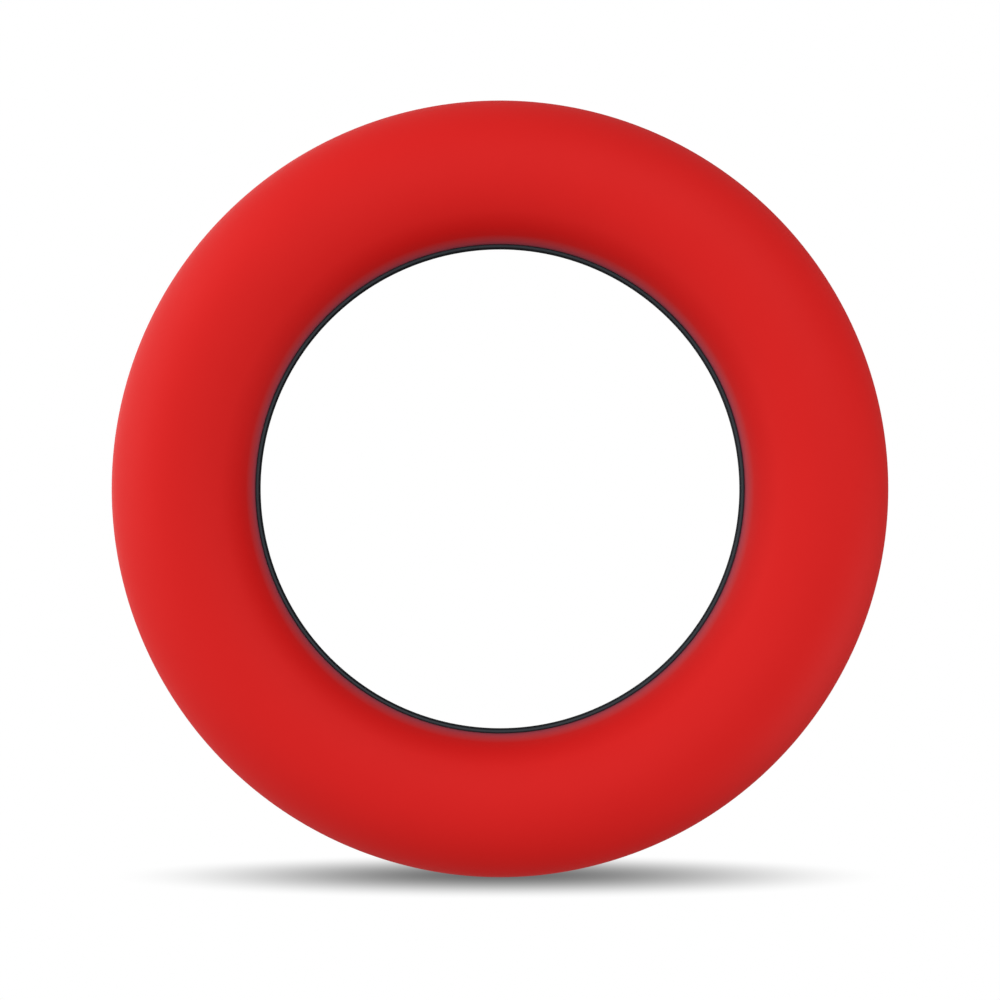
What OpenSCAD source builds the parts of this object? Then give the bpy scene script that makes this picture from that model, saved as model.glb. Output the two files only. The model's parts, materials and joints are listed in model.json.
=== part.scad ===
// Padded juggling ring: a red silicone grip on foam, clamped on a stiff dark rim that lines the
// bore. The ring stands upright: its axis is Y, its front faces -Y, and the origin is at its centre.
//
// Sections are drawn in the plane of one cut through the ring: x is the distance from the ring's
// axis and y is the distance in front of the middle plane. around_axis() spins them into place.

/* [Ring] */
// Outside diameter
ring_d = 240; // [200:1:300]
// Bore diameter, inside the rim
bore_d = 148.6; // [120:0.2:176]

/* [Rim] */
// Width of the sleeve's opening at the bore, which the two rims fill
rim_w = 16; // [14:0.5:20]
// Thickness of the lip that shows in front of and behind the sleeve
lip_t = 1; // [0.7:0.1:1.4]
// How far the lip's rounded edge stands past the sleeve
lip_proud = 0.5; // [0.4:0.1:1]
// Length of the lip's seat, over which the sleeve's edge lies
lip_seat = 1.4; // [1:0.1:2]
// Thickness of the wall at the ridge that holds the sleeve's bead
ridge_t = 2.2; // [1.8:0.1:2.6]
// Length of the ridge along the axis
ridge_w = 1.6; // [1.2:0.1:2]
// Thickness of the wall at the bottom of the bead's groove
wall_t = 1.2; // [1:0.1:1.5]
// Thickness of each flange
flange_t = 2; // [1.6:0.1:2.6]
// How far the flange reaches out from the bore
flange_reach = 8.2; // [7.8:0.1:9.8]
// Width and height of the tongue that keeps the two rims in line
tongue = [1, 1]; // [0.8:0.1:1.2]

/* [Sleeve] */
// Thickness of the silicone skin
skin_t = 1; // [0.8:0.1:1.6]
// How far the bead at each edge reaches out from the bore
bead_reach = 3.4; // [3:0.1:3.8]

/* [Core] */
// Outside diameter of the stiffening tube
tube_d = 10; // [8:0.5:11]
// Wall of the tube
tube_wall = 1.5; // [1.2:0.1:2]
// Gap between the tube's two ends
tube_gap = 0.4; // [0.2:0.1:1]
// Length of the plug that joins the tube's ends
connector_l = 60; // [40:1:80]
// Diameter of the two pins through the tube and plug
pin_d = 2.4; // [2:0.1:3]
// Distance of each pin from the tube's joint
pin_from_joint = 16; // [10:1:19]
// How far each pin's ends lie below the tube's surface
pin_sunk = 0.2; // [0.1:0.1:0.5]

/* [Rivets] */
// Number of rivets
rivet_n = 8; // [4:1:12]
// Shank diameter
rivet_d = 2.4; // [2:0.1:2.6]
// Head diameter
rivet_head_d = 3.8; // [3.2:0.1:4]
// Head height
rivet_head_h = 1; // [0.8:0.1:1.2]

/* [Clearances] */
// Round the foam, so that it slides together
foam_gap = 0.15; // [0.1:0.05:0.3]
// Round the tongue in its groove, and round the plug in the tube
slip_gap = 0.1; // [0.05:0.05:0.2]
// Round a rivet or pin in its hole
hole_gap = 0.05; // [0.05:0.05:0.1]

/* [Hidden] */
$fn = 128;

ring_r = ring_d / 2;
bore_r = bore_d / 2;
mouth_a = rim_w / 2;
lip_r = bore_r + lip_t;
ridge_r = bore_r + ridge_t;
wall_r = bore_r + wall_t;
flange_r = bore_r + flange_reach;
bead_r = bore_r + bead_reach;

// The grip's round section passes through the ring's outside and the two edges of its opening
section_c = (ring_r * ring_r - lip_r * lip_r - mouth_a * mouth_a) / (2 * (ring_r - lip_r));
section_r = ring_r - section_c;

ridge_front = mouth_a - lip_seat;
ridge_back = ridge_front - ridge_w;
bead_back = flange_t + slip_gap;

tongue_in = wall_r + 1;
tongue_out = tongue_in + tongue[0];

rivet_r = (bead_r + flange_r) / 2;
foam_in = bead_r + foam_gap;
foam_recess_a = flange_t + rivet_head_h + foam_gap;
foam_recess_r = flange_r + foam_gap;

tube_r = tube_d / 2;
plug_r = tube_r - tube_wall - slip_gap;
far = 2 * ring_d;

// Angle at the ring's axis that a length along the tube's centre line covers
function arc_angle(length) = length / section_c * 180 / PI;

// Spins a section round the ring's axis, from the joint at the top through the given angle
module around_axis(start = 0, angle = 360) {
    rotate([90, 0, 0])
        rotate([0, 0, 90 + start])
            rotate_extrude(angle = angle) children();
}

// Keeps the part of a section in front of the middle plane, less a gap
module front_half(gap) {
    intersection() {
        children();
        translate([0, gap]) square([far, far]);
    }
}

// A block of a section from r0 to r1, and from a0 to a1 in front of the middle plane
module block(r0, r1, a0, a1) {
    translate([r0, a0]) square([r1 - r0, a1 - a0]);
}

module sleeve_edge_section() {
    difference() {
        block(lip_r, bead_r, bead_back, mouth_a);
        block(lip_r, ridge_r, ridge_back, ridge_front);
        block(lip_r, wall_r, bead_back, ridge_front);
    }
}

module sleeve_section() {
    difference() {
        translate([section_c, 0]) circle(section_r);
        translate([section_c, 0]) circle(section_r - skin_t);
        block(0, lip_r, -mouth_a, mouth_a);
        block(0, bead_r, -mouth_a, mouth_a);
    }
    sleeve_edge_section();
    mirror([0, 1]) sleeve_edge_section();
}

module rim_section() {
    block(bore_r, lip_r, 0, mouth_a + lip_proud - lip_t / 2);
    translate([bore_r + lip_t / 2, mouth_a + lip_proud - lip_t / 2]) circle(d = lip_t);
    block(bore_r, ridge_r, ridge_back, ridge_front);
    block(bore_r, wall_r, 0, ridge_front);
    block(bore_r, flange_r, 0, flange_t);
}

module foam_section() {
    front_half(foam_gap / 2)
        difference() {
            translate([section_c, 0]) circle(section_r - skin_t - foam_gap);
            block(0, foam_in, 0, far);
            block(0, foam_recess_r, 0, foam_recess_a);
            translate([section_c, 0]) circle(tube_r + foam_gap);
        }
}

module rivet_places() {
    for (i = [0 : rivet_n - 1])
        rotate([0, (i + 0.5) * 360 / rivet_n, 0])
            translate([0, 0, rivet_r])
                rotate([90, 0, 0]) children();
}

module pin_places() {
    for (side = [-1, 1])
        rotate([0, side * arc_angle(pin_from_joint), 0])
            translate([0, 0, section_c])
                rotate([90, 0, 0]) children();
}

module rivet_holes() {
    rivet_places() cylinder(h = far, d = rivet_d + 2 * hole_gap, center = true);
}

module pin_holes() {
    pin_places() cylinder(h = 2 * tube_d, d = pin_d + 2 * hole_gap, center = true);
}

module rivet() {
    cylinder(h = 2 * flange_t, d = rivet_d, center = true);
    for (side = [0, 1])
        mirror([0, 0, side])
            translate([0, 0, flange_t])
                rotate_extrude() intersection() {
                    square([rivet_head_d / 2, rivet_head_h]);
                    translate([0, rivet_head_h - rivet_head_d]) circle(rivet_head_d);
                }
}

module grip_sleeve() {
    color("crimson") around_axis() sleeve_section();
}

module front_rim() {
    color("darkslategray") difference() {
        union() {
            around_axis() rim_section();
            around_axis() block(tongue_in, tongue_out, -tongue[1], 0);
        }
        rivet_holes();
    }
}

module rear_rim() {
    color("dimgray") difference() {
        mirror([0, 1, 0]) around_axis() rim_section();
        around_axis()
            block(tongue_in - slip_gap, tongue_out + slip_gap, -tongue[1] - slip_gap, 1);
        rivet_holes();
    }
}

module front_foam_core() {
    color("gainsboro") around_axis() foam_section();
}

module rear_foam_core() {
    color("silver") mirror([0, 1, 0]) around_axis() foam_section();
}

module core_tube() {
    half_gap = arc_angle(tube_gap / 2);
    color("ivory") difference() {
        around_axis(half_gap, 360 - 2 * half_gap)
            translate([section_c, 0]) difference() {
                circle(tube_r);
                circle(tube_r - tube_wall);
            }
        pin_holes();
    }
}

module tube_connector() {
    half_l = arc_angle(connector_l / 2);
    color("black") difference() {
        around_axis(-half_l, 2 * half_l) translate([section_c, 0]) circle(plug_r);
        pin_holes();
    }
}

module connector_pins() {
    color("goldenrod") pin_places()
        cylinder(h = tube_d - 2 * pin_sunk, d = pin_d, center = true);
}

module rim_rivets() {
    color("lightsteelblue") rivet_places() rivet();
}

grip_sleeve();
front_rim();
rear_rim();
front_foam_core();
rear_foam_core();
core_tube();
tube_connector();
connector_pins();
rim_rivets();
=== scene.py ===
"""A padded juggling ring in a plain studio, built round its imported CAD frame.

Everything is in metres, in the ring's own frame: the ring stands upright, its axis is Y, its
front faces -Y, and the origin is at its centre. Sections are drawn in the XY plane, where x is
the distance from the ring's axis, and are then spun round that axis.
"""

from __future__ import annotations

import json
import logging
import math
from collections.abc import Callable, Sequence
from dataclasses import dataclass, field
from enum import Enum

import bpy
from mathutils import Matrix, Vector

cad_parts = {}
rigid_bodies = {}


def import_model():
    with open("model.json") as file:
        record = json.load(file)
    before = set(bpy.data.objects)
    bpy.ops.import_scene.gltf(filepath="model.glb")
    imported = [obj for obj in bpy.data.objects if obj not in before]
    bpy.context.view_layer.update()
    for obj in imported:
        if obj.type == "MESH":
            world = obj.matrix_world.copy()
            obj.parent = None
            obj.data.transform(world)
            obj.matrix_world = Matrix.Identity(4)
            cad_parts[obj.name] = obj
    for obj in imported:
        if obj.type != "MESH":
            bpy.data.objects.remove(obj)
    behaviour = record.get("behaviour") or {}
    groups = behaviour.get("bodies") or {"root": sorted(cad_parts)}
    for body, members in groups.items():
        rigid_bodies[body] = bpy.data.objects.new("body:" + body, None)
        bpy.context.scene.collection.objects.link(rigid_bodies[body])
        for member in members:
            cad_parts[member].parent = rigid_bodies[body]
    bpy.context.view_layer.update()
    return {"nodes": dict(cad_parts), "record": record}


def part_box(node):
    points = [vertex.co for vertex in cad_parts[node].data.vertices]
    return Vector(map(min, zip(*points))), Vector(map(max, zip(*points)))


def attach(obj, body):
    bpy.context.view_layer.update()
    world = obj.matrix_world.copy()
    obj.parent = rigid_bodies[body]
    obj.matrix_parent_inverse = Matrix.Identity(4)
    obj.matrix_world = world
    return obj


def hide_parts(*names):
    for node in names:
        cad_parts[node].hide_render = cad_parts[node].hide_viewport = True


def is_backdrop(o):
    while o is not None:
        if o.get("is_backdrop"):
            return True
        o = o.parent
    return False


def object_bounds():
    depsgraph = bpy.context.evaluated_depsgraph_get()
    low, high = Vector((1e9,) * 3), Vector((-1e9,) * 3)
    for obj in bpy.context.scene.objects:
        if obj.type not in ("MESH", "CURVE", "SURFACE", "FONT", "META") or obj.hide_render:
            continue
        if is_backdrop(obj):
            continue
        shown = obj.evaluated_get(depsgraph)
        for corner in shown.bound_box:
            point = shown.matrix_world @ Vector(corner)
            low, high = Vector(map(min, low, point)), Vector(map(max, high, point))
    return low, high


MM = 0.001
MERGE_DISTANCE = 0.0005 * MM
CORNER = math.radians(32.0)
TURN = 2.0 * math.pi
QUARTER_TURN = math.radians(90.0)
RING_BODY = "root"
BLACK = (0.0, 0.0, 0.0)

log = logging.getLogger("juggling_ring")

Point = tuple[float, float]
Colour = tuple[float, float, float]


class Side(Enum):
    """The two sides of the ring, as the direction of each along Y."""

    FRONT = -1.0
    REAR = 1.0


# ---------------------------------------------------------------- sizes


@dataclass(frozen=True)
class RingSizes:
    """The sizes that the pieces share, in metres. Distances across are from the ring's axis."""

    ring_r: float
    section_r: float
    bore_r: float
    lip_end: float
    flange_r: float
    tube_r: float
    lip_t: float = 1.0 * MM
    lip_proud: float = 0.5 * MM
    lip_seat: float = 1.4 * MM
    ridge_t: float = 2.2 * MM
    ridge_w: float = 1.6 * MM
    wall_t: float = 1.2 * MM
    flange_t: float = 2.0 * MM
    bead_reach: float = 3.4 * MM
    skin_t: float = 1.0 * MM
    foam_gap: float = 0.15 * MM
    slip_gap: float = 0.1 * MM
    rivet_n: int = 8
    rivet_d: float = 2.4 * MM
    rivet_head_h: float = 1.0 * MM
    hole_gap: float = 0.05 * MM

    @classmethod
    def from_frame(cls, record: dict) -> RingSizes:
        """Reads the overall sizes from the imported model.

        Args:
            record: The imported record, whose bore mount gives the bore's radius.

        Returns:
            The sizes of this ring.
        """
        sleeve_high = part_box("grip_sleeve")[1]
        rim_low, rim_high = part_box("front_rim")
        bore = next(m for m in record["mounts"] if m["name"] == "bore")
        return cls(
            ring_r=sleeve_high.z,
            section_r=sleeve_high.y,
            bore_r=bore["dims"]["r_mm"] * MM,
            lip_end=-rim_low.y,
            flange_r=rim_high.z,
            tube_r=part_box("core_tube")[1].y,
        )

    @property
    def section_c(self) -> float:
        """Distance from the ring's axis to the middle of the grip's round section."""
        return self.ring_r - self.section_r

    @property
    def lip_r(self) -> float:
        """Outer radius of the rim's lip, where the sleeve begins."""
        return self.bore_r + self.lip_t

    @property
    def mouth(self) -> float:
        """Half the width of the sleeve's opening at the bore."""
        return math.sqrt(self.section_r**2 - (self.section_c - self.lip_r) ** 2)

    @property
    def ridge_r(self) -> float:
        """Outer radius of the ridge that holds the sleeve's bead."""
        return self.bore_r + self.ridge_t

    @property
    def wall_r(self) -> float:
        """Outer radius of the rim's wall at the bottom of the bead's groove."""
        return self.bore_r + self.wall_t

    @property
    def bead_r(self) -> float:
        """Outer radius of the sleeve's bead."""
        return self.bore_r + self.bead_reach

    @property
    def rivet_places(self) -> list[Vector]:
        """The middle of each rivet, on the ring's middle plane."""
        radius = (self.bead_r + self.flange_r) / 2
        angles = [(number + 0.5) * TURN / self.rivet_n for number in range(self.rivet_n)]
        return [Vector((radius * math.sin(a), 0.0, radius * math.cos(a))) for a in angles]

    @property
    def ridge_front(self) -> float:
        """Distance of the ridge's outer face from the middle plane."""
        return self.mouth - self.lip_seat

    @property
    def ridge_back(self) -> float:
        """Distance of the ridge's inner face from the middle plane."""
        return self.ridge_front - self.ridge_w


# ---------------------------------------------------------------- shader graphs


class Value:
    """A number on a shader socket, which Python's operators act on by adding Math nodes."""

    def __init__(self, graph: Graph, socket: bpy.types.NodeSocket) -> None:
        """Wraps one output socket of a graph."""
        self.graph = graph
        self.socket = socket

    def _math(self, operation: str, *terms: Value | float) -> Value:
        """Adds a Math node.

        Args:
            operation: The node's operation.
            terms: The node's inputs, in order.

        Returns:
            The node's result.
        """
        node = self.graph.node("ShaderNodeMath", {"operation": operation})
        for slot, term in enumerate(terms):
            self.graph.feed(node.inputs[slot], term)
        return Value(self.graph, node.outputs[0])

    def __add__(self, other: Value | float) -> Value:
        """Sum."""
        return self._math("ADD", self, other)

    def __radd__(self, other: float) -> Value:
        """Sum with a plain number on the left."""
        return self._math("ADD", other, self)

    def __sub__(self, other: Value | float) -> Value:
        """Difference."""
        return self._math("SUBTRACT", self, other)

    def __rsub__(self, other: float) -> Value:
        """Difference with a plain number on the left."""
        return self._math("SUBTRACT", other, self)

    def __mul__(self, other: Value | float) -> Value:
        """Product."""
        return self._math("MULTIPLY", self, other)

    def __rmul__(self, other: float) -> Value:
        """Product with a plain number on the left."""
        return self._math("MULTIPLY", other, self)

    def __truediv__(self, other: Value | float) -> Value:
        """Quotient."""
        return self._math("DIVIDE", self, other)

    def __rtruediv__(self, other: float) -> Value:
        """Quotient with a plain number on the left."""
        return self._math("DIVIDE", other, self)

    def __pow__(self, other: Value | float) -> Value:
        """Power."""
        return self._math("POWER", self, other)

    def __neg__(self) -> Value:
        """Negative."""
        return self._math("MULTIPLY", self, -1.0)

    def __abs__(self) -> Value:
        """Size without sign."""
        return self._math("ABSOLUTE", self)

    def root(self) -> Value:
        """Square root."""
        return self._math("SQRT", self)

    def at_least(self, floor: float) -> Value:
        """The value, or the floor where it is lower."""
        return self._math("MAXIMUM", self, floor)

    def step_up(self, start: float, end: float) -> Value:
        """Rises smoothly from 0 at start to 1 at end, or the other way if end is the lower.

        Args:
            start: The value at which the result is 0.
            end: The value at which the result is 1.

        Returns:
            The smooth step.
        """
        low, high = min(start, end), max(start, end)
        node = self.graph.node("ShaderNodeMapRange", {"interpolation_type": "SMOOTHSTEP"})
        self.graph.feed(node.inputs["Value"], self)
        node.inputs["From Min"].default_value = low
        node.inputs["From Max"].default_value = high
        node.inputs["To Min"].default_value = 0.0 if start < end else 1.0
        node.inputs["To Max"].default_value = 1.0 if start < end else 0.0
        return Value(self.graph, node.outputs["Result"])


class Graph:
    """The node graph of one material or world."""

    # The Mix node's sockets for colours, which share their names with those for other types
    MIX_FACTOR, MIX_LOW, MIX_HIGH, MIX_RESULT = 0, 6, 7, 2

    def __init__(self, tree: bpy.types.NodeTree) -> None:
        """Starts an empty graph on a node tree."""
        self.tree = tree
        tree.nodes.clear()

    def feed(self, socket: bpy.types.NodeSocket, value: object) -> None:
        """Feeds an input.

        Args:
            socket: The input.
            value: A value or socket to link to it, or a plain number or colour to set it to.
        """
        if isinstance(value, Value):
            self.tree.links.new(value.socket, socket)
        elif isinstance(value, bpy.types.NodeSocket):
            self.tree.links.new(value, socket)
        else:
            socket.default_value = value

    def node(
        self, kind: str, settings: dict[str, object] | None = None, **inputs: object
    ) -> bpy.types.Node:
        """Adds a node.

        Args:
            kind: The node's type.
            settings: Properties such as an operation. Stops sets a ramp's (place, colour) pairs.
            inputs: A value or link for each named socket, with _ for a space in its name.

        Returns:
            The new node.
        """
        node = self.tree.nodes.new(kind)
        for name, setting in (settings or {}).items():
            if name == "stops":
                self._set_stops(node.color_ramp, setting)
            else:
                setattr(node, name, setting)
        for name, value in inputs.items():
            self.feed(node.inputs[name.replace("_", " ")], value)
        return node

    @staticmethod
    def _set_stops(ramp: bpy.types.ColorRamp, stops: Sequence[tuple[float, Colour]]) -> None:
        """Gives a colour ramp its stops.

        Args:
            ramp: The ramp.
            stops: A (place, colour) pair for each stop.
        """
        while len(ramp.elements) < len(stops):
            ramp.elements.new(1.0)
        for element, (place, colour) in zip(ramp.elements, stops):
            element.position = place
            element.color = (*colour, 1.0)

    def ramp(self, factor: Value, stops: Sequence[tuple[float, Colour]]) -> bpy.types.NodeSocket:
        """Returns the colour that a ramp of stops gives at a factor from 0 to 1."""
        return self.node("ShaderNodeValToRGB", {"stops": stops}, Fac=factor).outputs["Color"]

    def mix(self, factor: Value | float, low: object, high: object) -> bpy.types.NodeSocket:
        """Mixes two colours.

        Args:
            factor: The share of the second colour.
            low: The colour at 0, plain or on a socket.
            high: The colour at 1, plain or on a socket.

        Returns:
            The mixed colour.
        """
        node = self.node("ShaderNodeMix", {"data_type": "RGBA"})
        self.feed(node.inputs[self.MIX_FACTOR], factor)
        for slot, colour in ((self.MIX_LOW, low), (self.MIX_HIGH, high)):
            self.feed(node.inputs[slot], (*colour, 1.0) if isinstance(colour, tuple) else colour)
        return node.outputs[self.MIX_RESULT]

    def place(self) -> tuple[bpy.types.NodeSocket, Value, Value, Value]:
        """Adds the point on the piece, which moves with it.

        Returns:
            The point, as a vector and as its three coordinates in metres.
        """
        point = self.node("ShaderNodeTexCoord").outputs["Object"]
        parts = self.node("ShaderNodeSeparateXYZ", Vector=point).outputs
        return point, Value(self, parts[0]), Value(self, parts[1]), Value(self, parts[2])

    def noise(self, point: bpy.types.NodeSocket, grain: float, detail: float = 2.0) -> Value:
        """Returns noise from 0 to 1 whose features are about one grain, in metres, across."""
        node = self.node("ShaderNodeTexNoise", Vector=point, Scale=1.0 / grain, Detail=detail)
        return Value(self, node.outputs["Fac"])

    def cells(self, point: bpy.types.NodeSocket, grain: float) -> Value:
        """Adds a pattern of cells.

        Args:
            point: The point on the piece.
            grain: How far across a cell is, in metres.

        Returns:
            The distance, from 0, to the nearest wall between cells.
        """
        node = self.node(
            "ShaderNodeTexVoronoi", {"feature": "DISTANCE_TO_EDGE"}, Vector=point, Scale=1.0 / grain
        )
        return Value(self, node.outputs["Distance"])

    def bump(self, height: Value, distance: float) -> bpy.types.NodeSocket:
        """Returns the normal of a surface raised by height, from 0 to 1, times a distance."""
        return self.node("ShaderNodeBump", Height=height, Distance=distance).outputs["Normal"]


class Finish:
    """What all finishes share: a named material with one Principled shader."""

    name = "finish"

    def shade(self, graph: Graph) -> dict[str, object]:
        """Returns the shader's inputs by socket name. Each finish gives its own."""
        raise NotImplementedError

    def material(self) -> bpy.types.Material:
        """Makes the finish's material, unless it is made already.

        Returns:
            The material.
        """
        if self.name in bpy.data.materials:
            return bpy.data.materials[self.name]
        material = bpy.data.materials.new(self.name)
        material.use_nodes = True
        graph = Graph(material.node_tree)
        shader = graph.node("ShaderNodeBsdfPrincipled")
        for socket, value in self.shade(graph).items():
            graph.feed(shader.inputs[socket], value)
        graph.node("ShaderNodeOutputMaterial", Surface=shader.outputs["BSDF"])
        return material

    def dress(self, piece: bpy.types.Object) -> None:
        """Puts the finish on all of a piece.

        Args:
            piece: The piece.
        """
        piece.data.materials.clear()
        piece.data.materials.append(self.material())
        for face in piece.data.polygons:
            face.material_index = 0

    def dress_some(
        self, piece: bpy.types.Object, wanted: Callable[[bpy.types.MeshPolygon], bool]
    ) -> None:
        """Puts the finish on some faces of a piece that is dressed already.

        Args:
            piece: The piece.
            wanted: Whether a face gets the finish.
        """
        piece.data.materials.append(self.material())
        last = len(piece.data.materials) - 1
        for face in piece.data.polygons:
            if wanted(face):
                face.material_index = last


# ---------------------------------------------------------------- finishes


@dataclass(frozen=True)
class Silicone(Finish):
    """Soft-touch red silicone, with a painted grey reflection and painted shade along its edge at the
    dark rim.

    Each colour of the ramp is that of the skin at its own distance out from the rim's lip. The
    colours nearest the lip are greyer and darker: painted reflection and painted shade, which fade
    out into the plain red.
    """

    edge_r: float
    name: str = "soft_touch_silicone"
    # Greyer and darker colours near the rim's lip: painted reflection and painted shade, fading out
    # to the plain red.
    lip: Colour = (0.32, 0.060, 0.085)
    reflection_and_shade: Colour = (0.47, 0.034, 0.046)
    reflection_and_shade_at: float = 1.0 * MM
    faint_reflection_and_shade: Colour = (0.53, 0.023, 0.027)
    faint_reflection_and_shade_at: float = 1.75 * MM
    deep_shade: Colour = (0.61, 0.0042, 0.0036)
    deep_shade_at: float = 2.8 * MM
    light_shade: Colour = (0.66, 0.0040, 0.0030)
    light_shade_at: float = 5.1 * MM
    unshaded: Colour = (0.71, 0.0082, 0.0066)
    unshaded_at: float = 10.0 * MM
    mottle: float = 14.0 * MM
    mottle_shade: float = 0.03
    grain: float = 0.22 * MM
    grain_h: float = 0.004 * MM
    roughness: float = 0.58
    mottle_rough: float = 0.04
    grain_rough: float = 0.03
    ior: float = 1.41
    gloss: float = 0.26

    def shade(self, graph: Graph) -> dict[str, object]:
        """Builds the finish's pattern.

        Args:
            graph: The material's graph.

        Returns:
            The shader's inputs by socket name.
        """
        point, x, _, z = graph.place()
        out = (x * x + z * z).root() - self.edge_r
        cloud = graph.noise(point, self.mottle, detail=3.0)
        grain = graph.noise(point, self.grain, detail=1.0)
        bands = (
            (0.0, self.lip),
            (self.reflection_and_shade_at, self.reflection_and_shade),
            (self.faint_reflection_and_shade_at, self.faint_reflection_and_shade),
            (self.deep_shade_at, self.deep_shade),
            (self.light_shade_at, self.light_shade),
            (self.unshaded_at, self.unshaded),
        )
        stops = [(reach / self.unshaded_at, colour) for reach, colour in bands]
        # The ramp paints the grey reflection and the shade near the rim's lip into the skin's colour.
        skin = graph.ramp(out / self.unshaded_at, stops)
        return {
            "Base Color": graph.mix(self.mottle_shade * cloud, skin, BLACK),
            "Roughness": self.roughness + self.mottle_rough * cloud + self.grain_rough * grain,
            "IOR": self.ior,
            "Specular IOR Level": self.gloss,
            "Normal": graph.bump(grain, self.grain_h),
        }


@dataclass(frozen=True)
class RimPlastic(Finish):
    """Blue-black polypropylene: fine spark-eroded texture, rubbed a little paler on its lip."""

    lip_start: float
    lip_end: float
    name: str = "rim_plastic"
    body: Colour = (0.016, 0.021, 0.026)
    rubbed: Colour = (0.028, 0.037, 0.045)
    roughness: float = 0.52
    lip_polish: float = 0.08
    grain_rough: float = 0.08
    ior: float = 1.5
    gloss: float = 0.25
    grain: float = 0.12 * MM
    grain_h: float = 0.006 * MM
    grain_lost: float = 0.7
    wear_patch: float = 4.8 * MM
    wear_share: float = 0.2
    wear_from: float = 0.35
    wear_to: float = 0.7

    def shade(self, graph: Graph) -> dict[str, object]:
        """Builds the finish's pattern.

        Args:
            graph: The material's graph.

        Returns:
            The shader's inputs by socket name.
        """
        point, _, y, _ = graph.place()
        on_lip = abs(y).step_up(self.lip_start, self.lip_end)
        grain = graph.noise(point, self.grain, detail=2.0)
        patches = graph.noise(point, self.wear_patch, detail=3.0)
        worn = 1.0 - self.wear_share + self.wear_share * patches.step_up(self.wear_from, self.wear_to)
        return {
            "Base Color": graph.mix(on_lip * worn, self.body, self.rubbed),
            "Roughness": self.roughness - self.lip_polish * on_lip + self.grain_rough * grain,
            "IOR": self.ior,
            "Specular IOR Level": self.gloss,
            "Normal": graph.bump(grain * (1.0 - self.grain_lost * on_lip), self.grain_h),
        }


@dataclass(frozen=True)
class ShadedBorePlastic(RimPlastic):
    """The rim's plastic on the bore's wall, darkened with painted shade and fully matt."""

    name: str = "rim_bore_shaded"
    # Darker than the rim's own colours: painted shade on the wall inside the bore.
    body: Colour = (0.008, 0.010, 0.013)
    rubbed: Colour = (0.012, 0.015, 0.018)
    roughness: float = 0.85
    gloss: float = 0.02


@dataclass(frozen=True)
class MouldedFoam(Finish):
    """Closed-cell foam with a moulded skin that shows its cells."""

    name: str = "moulded_foam"
    pale: Colour = (0.80, 0.79, 0.75)
    dim: Colour = (0.60, 0.59, 0.56)
    cell: float = 0.9 * MM
    cell_h: float = 0.12 * MM
    wall_w: float = 0.12
    cloud: float = 10.8 * MM
    cloud_share: float = 0.25
    roughness: float = 0.9
    cell_polish: float = 0.1

    def shade(self, graph: Graph) -> dict[str, object]:
        """Builds the finish's pattern.

        Args:
            graph: The material's graph.

        Returns:
            The shader's inputs by socket name.
        """
        point, _, _, _ = graph.place()
        cell = graph.cells(point, self.cell).step_up(0.0, self.wall_w)
        cloud = graph.noise(point, self.cloud, detail=3.0)
        lit = 1.0 - self.cloud_share + self.cloud_share * cloud
        return {
            "Base Color": graph.mix(cell * lit, self.dim, self.pale),
            "Roughness": self.roughness - self.cell_polish * cell,
            "Normal": graph.bump(cell, self.cell_h),
        }


@dataclass(frozen=True)
class DrawnTube(Finish):
    """Milky extruded polyethylene with fine draw lines along the tube."""

    middle_r: float
    name: str = "drawn_tube"
    milk: Colour = (0.66, 0.67, 0.64)
    haze: Colour = (0.52, 0.54, 0.53)
    line: float = 0.35 * MM
    line_h: float = 0.01 * MM
    line_share: float = 0.5
    cloud: float = 21.0 * MM
    roughness: float = 0.34
    line_rough: float = 0.12

    def shade(self, graph: Graph) -> dict[str, object]:
        """Builds the finish's pattern.

        Args:
            graph: The material's graph.

        Returns:
            The shader's inputs by socket name.
        """
        point, x, y, z = graph.place()
        out = (x * x + z * z).root() - self.middle_r
        around = graph.node("ShaderNodeCombineXYZ", X=y, Y=out, Z=0.0).outputs["Vector"]
        lines = graph.noise(around, self.line, detail=3.0)
        cloud = graph.noise(point, self.cloud, detail=2.0)
        clear = (1.0 - self.line_share) * cloud + self.line_share * lines
        return {
            "Base Color": graph.mix(clear, self.haze, self.milk),
            "Roughness": self.roughness + self.line_rough * lines,
            "Normal": graph.bump(lines, self.line_h),
        }


@dataclass(frozen=True)
class MouldedPlug(Finish):
    """Black moulded polyethylene with a dull, slightly paler swirl."""

    name: str = "moulded_plug"
    black: Colour = (0.012, 0.012, 0.013)
    swirled: Colour = (0.045, 0.045, 0.047)
    swirl: float = 1.8 * MM
    swirl_h: float = 0.02 * MM
    swirl_from: float = 0.5
    swirl_to: float = 0.8
    roughness: float = 0.5
    swirl_rough: float = 0.2

    def shade(self, graph: Graph) -> dict[str, object]:
        """Builds the finish's pattern.

        Args:
            graph: The material's graph.

        Returns:
            The shader's inputs by socket name.
        """
        point, _, _, _ = graph.place()
        swirl = graph.noise(point, self.swirl, detail=6.0)
        streaks = swirl.step_up(self.swirl_from, self.swirl_to)
        return {
            "Base Color": graph.mix(streaks, self.black, self.swirled),
            "Roughness": self.roughness + self.swirl_rough * swirl,
            "Normal": graph.bump(swirl, self.swirl_h),
        }


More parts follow.
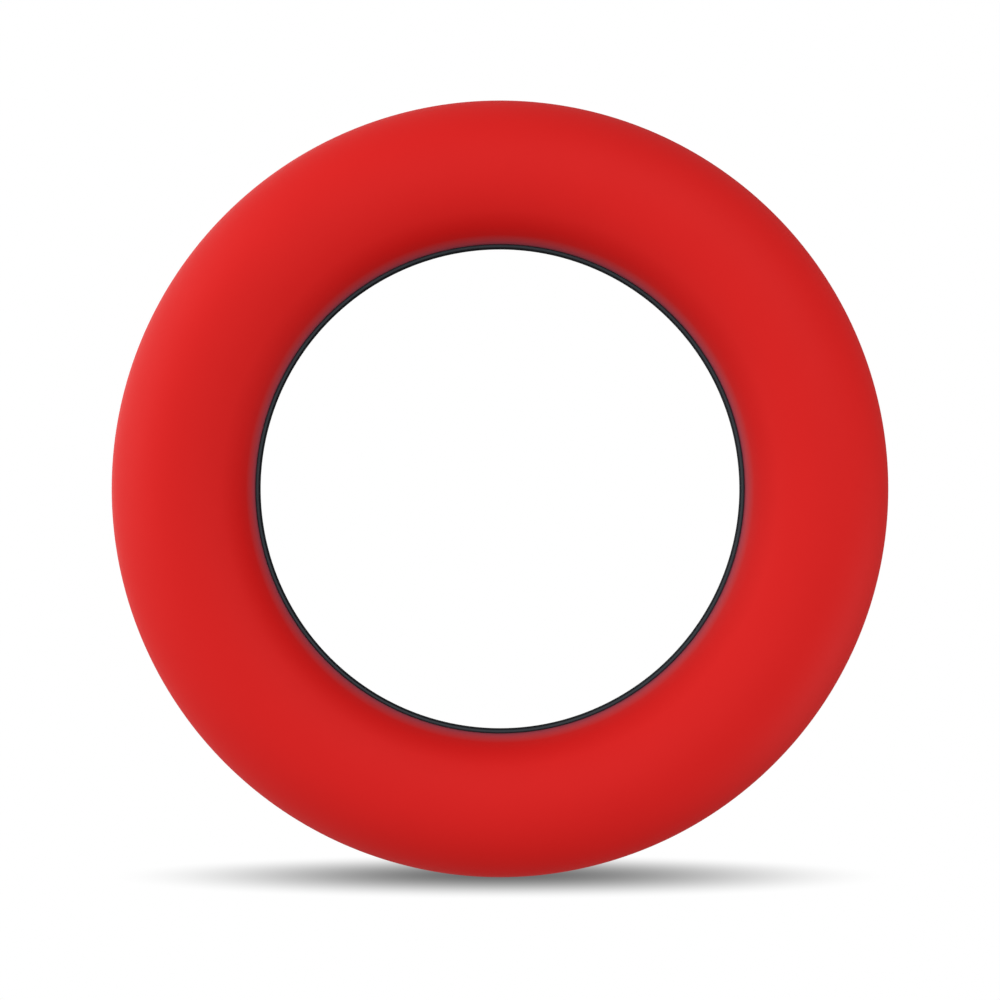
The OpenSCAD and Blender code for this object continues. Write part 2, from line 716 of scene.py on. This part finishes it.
@dataclass(frozen=True)
class RivetMetal(Finish):
    """Plain aluminium with drawn streaks and dull spots of oxide."""

    name: str = "rivet_metal"
    bright: Colour = (0.80, 0.81, 0.82)
    dull: Colour = (0.52, 0.53, 0.55)
    spot: float = 0.6 * MM
    spot_from: float = 0.4
    spot_to: float = 0.65
    streak: float = 0.08 * MM
    streak_h: float = 0.004 * MM
    roughness: float = 0.26
    spot_rough: float = 0.24
    streak_rough: float = 0.06

    def shade(self, graph: Graph) -> dict[str, object]:
        """Builds the finish's pattern.

        Args:
            graph: The material's graph.

        Returns:
            The shader's inputs by socket name.
        """
        point, _, _, _ = graph.place()
        spots = graph.noise(point, self.spot, detail=4.0).step_up(self.spot_from, self.spot_to)
        streaks = graph.noise(point, self.streak, detail=1.0)
        return {
            "Base Color": graph.mix(spots, self.bright, self.dull),
            "Metallic": 1.0,
            "Roughness": self.roughness + self.spot_rough * spots + self.streak_rough * streaks,
            "Normal": graph.bump(streaks, self.streak_h),
        }


# ---------------------------------------------------------------- modelling


def pick(piece: bpy.types.Object) -> None:
    """Makes a piece the active object and the only one that is selected.

    Args:
        piece: The piece.
    """
    bpy.ops.object.select_all(action="DESELECT")
    piece.select_set(True)
    bpy.context.view_layer.objects.active = piece


def smooth(piece: bpy.types.Object) -> None:
    """Shades a piece smooth, except across its corners."""
    pick(piece)
    bpy.ops.object.shade_smooth_by_angle(angle=CORNER)


def drill(
    piece: bpy.types.Object, places: Sequence[Vector], radius: float, depth: float, steps: int
) -> None:
    """Drills round holes through a piece, parallel to the ring's axis.

    Args:
        piece: The piece.
        places: The middle of each hole.
        radius: The holes' radius.
        depth: How deep each hole is, half of it on each side of its middle.
        steps: How many straight steps a hole's edge has.
    """
    bpy.ops.object.select_all(action="DESELECT")
    bits = []
    for place in places:
        bpy.ops.mesh.primitive_cylinder_add(
            vertices=steps,
            radius=radius,
            depth=depth,
            location=place,
            rotation=(QUARTER_TURN, 0.0, 0.0),
        )
        bits.append(bpy.context.object)
    for bit in bits:
        bit.select_set(True)
    bpy.ops.object.join()
    drills = bpy.context.object
    cut = piece.modifiers.new("holes", "BOOLEAN")
    cut.operation = "DIFFERENCE"
    cut.solver = "EXACT"
    cut.object = drills
    pick(piece)
    bpy.ops.object.modifier_apply(modifier=cut.name)
    pick(drills)
    bpy.ops.object.delete()
    smooth(piece)


class Section:
    """A closed outline in the XY plane that is drawn in edit mode and spun round the ring's axis."""

    def __init__(self, name: str) -> None:
        """Starts an empty section, ready for its first arc, under the finished piece's name."""
        self.name = name
        self.piece: bpy.types.Object | None = None

    def _select_nearest(self, point: Point) -> Vector:
        """Selects the vertex nearest to a point of the section, and no other.

        Args:
            point: The point.

        Returns:
            The vertex's own place.
        """
        bpy.ops.mesh.select_all(action="DESELECT")
        bpy.ops.object.mode_set(mode="OBJECT")
        target = Vector((*point, 0.0))
        nearest = min(self.piece.data.vertices, key=lambda v: (v.co - target).length)
        nearest.select = True
        place = nearest.co.copy()
        bpy.ops.object.mode_set(mode="EDIT")
        bpy.ops.mesh.select_mode(type="VERT")
        return place

    def arc(
        self, middle: Point, radius: float, steps: int, keeps: Sequence[tuple[Point, Point]]
    ) -> None:
        """Adds a circle and bisects it, so that the wanted arc is left.

        Args:
            middle: The circle's centre.
            radius: The circle's radius.
            steps: How many straight steps the whole circle has.
            keeps: A (point, direction) pair for each cut: what lies that way from it stays.
        """
        if self.piece is None:
            bpy.ops.object.select_all(action="DESELECT")
        else:
            bpy.ops.mesh.select_all(action="DESELECT")
        bpy.ops.mesh.primitive_circle_add(
            vertices=steps, radius=radius, fill_type="NOTHING", location=(*middle, 0.0)
        )
        if self.piece is None:
            self.piece = bpy.context.object
            self.piece.name = self.name
            self.piece.data.name = self.name
            bpy.ops.object.transform_apply(location=True, rotation=True, scale=True)
            bpy.ops.object.mode_set(mode="EDIT")
            bpy.ops.mesh.select_mode(type="VERT")
            bpy.ops.mesh.select_all(action="SELECT")
        for point, direction in keeps:
            bpy.ops.mesh.select_linked()
            bpy.ops.mesh.bisect(
                plane_co=(*point, 0.0), plane_no=(*direction, 0.0), clear_inner=True
            )

    def path(self, start: Point, points: Sequence[Point], end: Point) -> None:
        """Draws straight lines from one end of what is drawn already to another end.

        Args:
            start: The end to draw from.
            points: The corners that the line passes through, in order.
            end: The end to draw to.
        """
        stop = self._select_nearest(end)
        here = self._select_nearest(start)
        for corner in [*(Vector((*point, 0.0)) for point in points), stop]:
            bpy.ops.mesh.extrude_vertices_move(TRANSFORM_OT_translate={"value": corner - here})
            here = corner

    def join(self) -> None:
        """Merges the ends that meet, which closes the outline."""
        bpy.ops.mesh.select_all(action="SELECT")
        bpy.ops.mesh.remove_doubles(threshold=MERGE_DISTANCE)

    def ridge(self, top: Point, height: float, width: float, blend: float) -> None:
        """Raises a fine ridge that runs round the outermost line of the arc drawn last.

        Args:
            top: The point of the arc where the ridge is highest.
            height: How far the ridge stands out.
            width: The ridge's width.
            blend: The width of plain surface kept along each side of it.
        """
        for offset in (width / 2, width / 2 + blend):
            for sign in (-1.0, 1.0):
                bpy.ops.mesh.select_linked()
                bpy.ops.mesh.bisect(plane_co=(0.0, sign * offset, 0.0), plane_no=(0.0, 1.0, 0.0))
        self._select_nearest(top)
        bpy.ops.transform.translate(value=(height, 0.0, 0.0))

    def round_corner(self, corner: Point, radius: float, steps: int = 4) -> None:
        """Rounds one corner of the outline."""
        self._select_nearest(corner)
        bpy.ops.mesh.bevel(offset=radius, segments=steps, affect="VERTICES")

    def spin(self, steps: int, mirrored: bool = False) -> bpy.types.Object:
        """Spins the outline round the ring's axis.

        Args:
            steps: How many steps one turn takes.
            mirrored: Whether the piece is turned to the ring's other side.

        Returns:
            The finished piece, closed and smooth, with its place in its mesh.
        """
        bpy.ops.mesh.select_all(action="SELECT")
        bpy.ops.mesh.spin(steps=steps, angle=TURN, center=(0.0, 0.0, 0.0), axis=(0.0, 1.0, 0.0))
        bpy.ops.mesh.select_all(action="SELECT")
        bpy.ops.mesh.remove_doubles(threshold=MERGE_DISTANCE)
        if mirrored:
            bpy.ops.transform.mirror(
                constraint_axis=(False, True, False), center_override=(0.0, 0.0, 0.0)
            )
        bpy.ops.mesh.normals_make_consistent(inside=False)
        bpy.ops.mesh.select_all(action="DESELECT")
        bpy.ops.object.mode_set(mode="OBJECT")
        smooth(self.piece)
        return self.piece


@dataclass
class Assembly:
    """A group of pieces that a person would take off together."""

    sizes: RingSizes
    made: list[bpy.types.Object] = field(default_factory=list, init=False)

    def keep(
        self, piece: bpy.types.Object, finish: Finish, slot: str, stands_for: str
    ) -> bpy.types.Object:
        """Dresses a new piece, puts it on the ring's body and hides the CAD node it stands for.

        Args:
            piece: The new piece.
            finish: Its finish.
            slot: The record's material slot for the piece. Not used.
            stands_for: The CAD node.

        Returns:
            The piece.
        """
        finish.dress(piece)
        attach(piece, RING_BODY)
        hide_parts(stands_for)
        self.made.append(piece)
        return piece

    def dress_node(self, node: bpy.types.Object, finish: Finish) -> None:
        """Gives a CAD node that stays its finish."""
        finish.dress(node)
        self.made.append(node)

    def report(self) -> None:
        """Logs each piece with how many faces it has."""
        for piece in self.made:
            log.info("%s: %s, %d faces", type(self).__name__, piece.name, len(piece.data.polygons))


@dataclass
class Grip(Assembly):
    """The soft part: the silicone sleeve and the two halves of its foam core."""

    arc_steps: int = 128
    turn_steps: int = 288
    parting_h: float = 0.12 * MM
    parting_w: float = 0.5 * MM
    parting_blend: float = 0.15 * MM
    edge_round: float = 0.25 * MM
    foam_round: float = 1.2 * MM
    foam_arc_steps: int = 96
    foam_turn_steps: int = 192

    def build(self) -> None:
        """Makes and dresses the sleeve and both foam halves."""
        sleeve = self.keep(
            self.sleeve(), Silicone(edge_r=self.sizes.lip_r), "silicone", "grip_sleeve"
        )
        for side, name, node in (
            (Side.FRONT, "foam_front", "front_foam_core"),
            (Side.REAR, "foam_rear", "rear_foam_core"),
        ):
            foam = self.keep(self.foam_half(name, side), MouldedFoam(), "foam", node)

    def sleeve(self) -> bpy.types.Object:
        """Models the sleeve: a round skin whose edges turn in at the bore and end in beads.

        A fine parting line from the mould runs round the ring's outside.

        Returns:
            The sleeve.
        """
        s = self.sizes
        middle = (s.section_c, 0.0)
        inner_r = s.section_r - s.skin_t
        inner_x = s.section_c - math.sqrt(inner_r**2 - s.mouth**2)
        section = Section("sleeve_skin")
        section.arc(middle, s.section_r, self.arc_steps, [((s.lip_r, 0.0), (1.0, 0.0))])
        section.ridge((s.ring_r, 0.0), self.parting_h, self.parting_w, self.parting_blend)
        section.arc(middle, inner_r, self.arc_steps, [((inner_x, 0.0), (1.0, 0.0))])
        bead_back = s.flange_t + s.slip_gap
        for sign in (-1.0, 1.0):
            section.path(
                (s.lip_r, sign * s.mouth),
                [
                    (s.lip_r, sign * s.ridge_front),
                    (s.ridge_r, sign * s.ridge_front),
                    (s.ridge_r, sign * s.ridge_back),
                    (s.wall_r, sign * s.ridge_back),
                    (s.wall_r, sign * bead_back),
                    (s.bead_r, sign * bead_back),
                    (s.bead_r, sign * s.mouth),
                ],
                (inner_x, sign * s.mouth),
            )
        section.join()
        for sign in (-1.0, 1.0):
            section.round_corner((s.lip_r, sign * s.mouth), self.edge_round)
        return section.spin(self.turn_steps)

    def foam_half(self, name: str, side: Side) -> bpy.types.Object:
        """Models one half of the foam core, with its recess for the rim and groove for the tube.

        Args:
            name: The piece's name.
            side: Which half it is.

        Returns:
            The foam half.
        """
        s = self.sizes
        middle = (s.section_c, 0.0)
        outer_r = s.section_r - s.skin_t - s.foam_gap
        groove_r = s.tube_r + s.foam_gap
        face = s.foam_gap / 2
        inner = s.bead_r + s.foam_gap
        recess_y = s.flange_t + s.rivet_head_h + s.foam_gap
        recess_r = s.flange_r + s.foam_gap
        top = math.sqrt(outer_r**2 - (s.section_c - inner) ** 2)
        edge = math.sqrt(outer_r**2 - face**2)
        groove = math.sqrt(groove_r**2 - face**2)
        section = Section(name)
        section.arc(
            middle,
            outer_r,
            self.foam_arc_steps,
            [((0.0, face), (0.0, 1.0)), ((inner, 0.0), (1.0, 0.0))],
        )
        section.arc(middle, groove_r, self.foam_arc_steps // 2, [((0.0, face), (0.0, 1.0))])
        section.path(
            (inner, top),
            [
                (inner, recess_y),
                (recess_r, recess_y),
                (recess_r, face),
            ],
            (s.section_c - groove, face),
        )
        section.path((s.section_c + groove, face), [], (s.section_c + edge, face))
        section.join()
        section.round_corner((inner, top), self.foam_round)
        section.round_corner((inner, recess_y), self.foam_round / 2)
        return section.spin(self.foam_turn_steps, mirrored=side is Side.FRONT)


@dataclass
class Rim(Assembly):
    """The stiff liner of the bore: two flanged halves and the rivets that join them."""

    lip_steps: int = 24
    turn_steps: int = 360
    hole_steps: int = 32
    joint_round: float = 0.25 * MM
    flange_round: float = 0.2 * MM
    bore_margin: float = 0.1 * MM
    tongue_in: float = 1.0 * MM
    tongue_w: float = 1.0 * MM
    tongue_h: float = 1.0 * MM

    def build(self, rivets: bpy.types.Object) -> None:
        """Makes and dresses both halves, and dresses the rivets.

        Args:
            rivets: The CAD node of the rivets.
        """
        s = self.sizes
        lip = (s.lip_end - s.lip_t, s.lip_end - s.lip_t / 2)
        for side, name, node in (
            (Side.FRONT, "rim_front", "front_rim"),
            (Side.REAR, "rim_rear", "rear_rim"),
        ):
            half = self.keep(self.half(name, side), RimPlastic(*lip), "rim", node)
            # The bore's wall and the inner half of the lip get the darker copy of the plastic, which
            # is painted shade.
            ShadedBorePlastic(*lip).dress_some(half, self.faces_bore)
        self.dress_node(rivets, RivetMetal())

    def faces_bore(self, face: bpy.types.MeshPolygon) -> bool:
        """Whether a face is on the wall that lines the bore, or on the inner half of the lip."""
        out = Vector((face.center.x, 0.0, face.center.z))
        return out.length < self.sizes.bore_r + self.bore_margin and face.normal.dot(out) < 0

    def half(self, name: str, side: Side) -> bpy.types.Object:
        """Models one half: a rounded lip, a seat and groove for the sleeve's bead, and a flange.

        Args:
            name: The piece's name.
            side: Which half it is. The front one has the tongue and the rear one its groove.

        Returns:
            The half.
        """
        s = self.sizes
        lip_y = s.lip_end - s.lip_t / 2
        tongue_r = s.wall_r + self.tongue_in
        if side is Side.FRONT:
            tongue = [
                (tongue_r + self.tongue_w, 0.0),
                (tongue_r + self.tongue_w, -self.tongue_h),
                (tongue_r, -self.tongue_h),
                (tongue_r, 0.0),
            ]
        else:
            gap = s.slip_gap
            tongue = [
                (tongue_r + self.tongue_w + gap, 0.0),
                (tongue_r + self.tongue_w + gap, self.tongue_h + gap),
                (tongue_r - gap, self.tongue_h + gap),
                (tongue_r - gap, 0.0),
            ]
        section = Section(name)
        section.arc(
            (s.bore_r + s.lip_t / 2, lip_y), s.lip_t / 2, self.lip_steps, [((0.0, lip_y), (0.0, 1.0))]
        )
        section.path(
            (s.lip_r, lip_y),
            [
                (s.lip_r, s.ridge_front),
                (s.ridge_r, s.ridge_front),
                (s.ridge_r, s.ridge_back),
                (s.wall_r, s.ridge_back),
                (s.wall_r, s.flange_t),
                (s.flange_r, s.flange_t),
                (s.flange_r, 0.0),
                *tongue,
                (s.bore_r, 0.0),
            ],
            (s.bore_r, lip_y),
        )
        section.join()
        section.round_corner((s.bore_r, 0.0), self.joint_round)
        section.round_corner((s.flange_r, s.flange_t), self.flange_round)
        half = section.spin(self.turn_steps, mirrored=side is Side.FRONT)
        hole_r = s.rivet_d / 2 + s.hole_gap
        drill(half, s.rivet_places, hole_r, depth=4 * s.flange_t, steps=self.hole_steps)
        return half


@dataclass
class CoreHoop(Assembly):
    """The stiffening hoop in the foam: a bent tube, the plug in its ends and the plug's pins."""

    def build(self, nodes: dict[str, bpy.types.Object]) -> None:
        """Dresses the hoop's CAD nodes.

        Args:
            nodes: The CAD nodes by name.
        """
        self.dress_node(nodes["core_tube"], DrawnTube(middle_r=self.sizes.section_c))
        self.dress_node(nodes["tube_connector"], MouldedPlug())
        self.dress_node(nodes["connector_pins"], RivetMetal())


# ---------------------------------------------------------------- studio


@dataclass(frozen=True)
class Softbox:
    """A square area light that faces the ring."""

    name: str
    azimuth: float
    elevation: float
    power: float
    distance: float = 1.6
    width: float = 1.2

    def add(self) -> None:
        """Adds the light. Azimuth 0 is in front of the ring and 90 is on its right."""
        azimuth, elevation = math.radians(self.azimuth), math.radians(self.elevation)
        towards = Vector(
            (
                math.sin(azimuth) * math.cos(elevation),
                -math.cos(azimuth) * math.cos(elevation),
                math.sin(elevation),
            )
        )
        data = bpy.data.lights.new(self.name, "AREA")
        data.shape = "SQUARE"
        data.size = self.width
        data.energy = self.power
        light = bpy.data.objects.new(self.name, data)
        light.location = towards * self.distance
        light.rotation_euler = towards.to_track_quat("Z", "Y").to_euler()
        light.visible_camera = False
        bpy.context.scene.collection.objects.link(light)


@dataclass
class Studio:
    """A pale floor under the ring, soft light and the camera.

    The floor's shade runs out at shade_to times shade_r, from a middle that lies shade_back
    behind the ring. Each fill is the strength of the world's light from its own direction.
    """

    ring_r: float
    floor_z: float
    floor_w: float = 12.0
    camera_distance: float = 2.0
    ring_share: float = 0.776
    eye_drop: float = 3.46 * MM
    sensor_w: float = 36.0
    white: Colour = (1.0, 1.0, 1.0)
    shade: float = 0.41
    shade_r: float = 115.0 * MM
    shade_from: float = -0.05
    shade_to: float = 1.06
    shade_back: float = 10.0 * MM
    display_gamma: float = 2.2
    fill: float = 0.10
    fill_front: float = 0.65
    fill_left: float = 0.73
    fill_top: float = 0.25
    fill_back: float = 0.16
    lights: tuple[Softbox, ...] = (
        Softbox("softbox_left", azimuth=-90.0, elevation=15.0, power=6.9),
        Softbox("softbox_front", azimuth=30.0, elevation=30.0, power=5.9),
        Softbox("softbox_low", azimuth=90.0, elevation=-25.0, power=7.8),
        Softbox("softbox_rear", azimuth=-150.0, elevation=15.0, power=2.8),
    )

    def build(self) -> None:
        """Makes the floor, the light and the camera."""
        self.floor()
        self.surroundings()
        for light in self.lights:
            light.add()
        self.camera()
        bpy.context.scene.view_settings.view_transform = "Standard"

    def floor(self) -> None:
        """Adds a white floor with the ring's soft contact shade on it, darkest at the contact."""
        bpy.ops.object.select_all(action="DESELECT")
        bpy.ops.mesh.primitive_plane_add(size=self.floor_w, location=(0.0, 0.0, self.floor_z))
        floor = bpy.context.object
        floor.name = "studio_floor"
        material = bpy.data.materials.new("studio_floor")
        material.use_nodes = True
        graph = Graph(material.node_tree)
        _, x, y, _ = graph.place()
        behind = y - self.shade_back
        away = (x * x + behind * behind).root() / self.shade_r
        level = self.shade + (1.0 - self.shade) * away.step_up(self.shade_from, self.shade_to)
        glow = graph.node(
            "ShaderNodeEmission", Color=(*self.white, 1.0), Strength=level**self.display_gamma
        )
        graph.node("ShaderNodeOutputMaterial", Surface=glow.outputs["Emission"])
        floor.data.materials.append(material)
        floor.visible_diffuse = False
        floor.visible_glossy = False
        floor.visible_shadow = False
        floor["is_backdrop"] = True

    def surroundings(self) -> None:
        """Makes the world: soft fill that is strongest from the front and the left.

        To the camera itself the world is plain white.
        """
        world = bpy.data.worlds.new("studio")
        world.use_nodes = True
        bpy.context.scene.world = world
        graph = Graph(world.node_tree)
        direction = graph.node("ShaderNodeTexCoord").outputs["Generated"]
        parts = graph.node("ShaderNodeSeparateXYZ", Vector=direction).outputs
        x, y, z = (Value(graph, parts[axis]) for axis in "XYZ")
        strength = (
            self.fill
            + self.fill_left * (-x).at_least(0.0)
            + self.fill_front * (-y).at_least(0.0)
            + self.fill_back * y.at_least(0.0)
            + self.fill_top * z.at_least(0.0)
        )
        soft = graph.node("ShaderNodeBackground", Color=(*self.white, 1.0), Strength=strength)
        seen = graph.node("ShaderNodeBackground", Color=(*self.white, 1.0))
        blend = graph.node("ShaderNodeMixShader")
        graph.feed(blend.inputs[0], graph.node("ShaderNodeLightPath").outputs["Is Camera Ray"])
        graph.feed(blend.inputs[1], soft.outputs[0])
        graph.feed(blend.inputs[2], seen.outputs[0])
        graph.node("ShaderNodeOutputWorld", Surface=blend.outputs[0])

    def camera(self) -> None:
        """Adds the camera, which looks level at the ring's front from its own height."""
        data = bpy.data.cameras.new("camera")
        data.sensor_width = self.sensor_w
        view_w = 2 * self.ring_r / self.ring_share
        data.lens = self.sensor_w * self.camera_distance / view_w
        data.clip_end = 2 * self.floor_w
        camera = bpy.data.objects.new("camera", data)
        camera.location = (0.0, -self.camera_distance, -self.eye_drop)
        camera.rotation_euler = (QUARTER_TURN, 0.0, 0.0)
        bpy.context.scene.collection.objects.link(camera)
        bpy.context.scene.camera = camera


def main() -> None:
    """Builds the ring round its frame, then the studio."""
    logging.basicConfig(level=logging.INFO, format="%(name)s: %(message)s")
    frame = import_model()
    sizes = RingSizes.from_frame(frame["record"])
    grip = Grip(sizes)
    grip.build()
    rim = Rim(sizes)
    rim.build(frame["nodes"]["rim_rivets"])
    hoop = CoreHoop(sizes)
    hoop.build(frame["nodes"])
    for assembly in (grip, rim, hoop):
        assembly.report()
    Studio(ring_r=sizes.ring_r, floor_z=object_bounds()[0].z).build()


if __name__ == "__main__":
    main()
